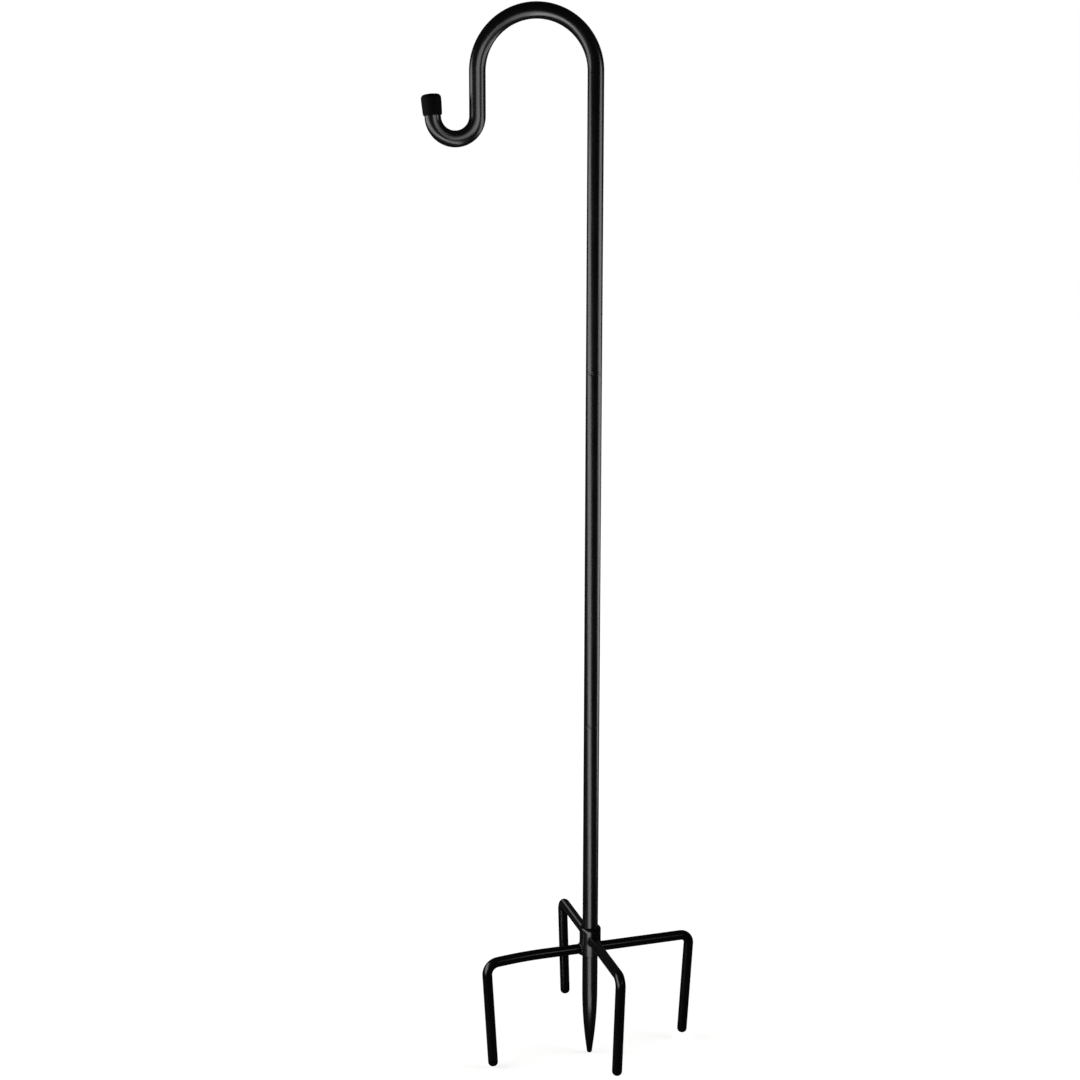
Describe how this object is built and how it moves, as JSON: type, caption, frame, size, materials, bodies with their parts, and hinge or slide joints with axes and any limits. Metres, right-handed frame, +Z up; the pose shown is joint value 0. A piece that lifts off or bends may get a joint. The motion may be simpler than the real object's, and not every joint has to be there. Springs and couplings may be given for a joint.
{
  "type": "shepherd's hook",
  "caption": "Garden stake with a crook that hangs a feeder or lantern, a sectional steel pole and a pronged foot for the soil.",
  "frame": {"origin": "on the pole's axis at the underside of the prong collar, at the level of the soil's surface", "axes": "+Z up along the pole; the crook and its small hook reach towards -X"},
  "size_m": [0.2979, 0.2302, 1.143],
  "materials": {
    "black_coat": "semi-gloss black powder coat",
    "cap_rubber": "matte black"
  },
  "bodies": {
    "ground_section": {"lower_pole": "black_coat", "base_collar": "black_coat", "prong_left": "black_coat", "prong_right": "black_coat", "prong_front": "black_coat", "prong_back": "black_coat"},
    "lower_joint": {"lower_connector": "black_coat"},
    "middle_section": {"middle_pole": "black_coat"},
    "upper_joint": {"upper_connector": "black_coat"},
    "hook_section": {"hook_tube": "black_coat", "hook_end_cap": "cap_rubber"}
  },
  "joints": [
    {"name": "lower_joint_pull", "type": "slide", "parent": "ground_section", "child": "lower_joint", "axis": [0, 0, 1], "range_m": [0, 0.038]},
    {"name": "lower_joint_turn", "type": "hinge", "parent": "lower_joint", "child": "middle_section", "pos_m": [0, 0, 0.2651], "axis": [0, 0, 1], "continuous": true},
    {"name": "upper_joint_pull", "type": "slide", "parent": "middle_section", "child": "upper_joint", "axis": [0, 0, 1], "range_m": [0, 0.038]},
    {"name": "upper_joint_turn", "type": "hinge", "parent": "upper_joint", "child": "hook_section", "pos_m": [0, 0, 0.6482], "axis": [0, 0, 1], "continuous": true}
  ]
}
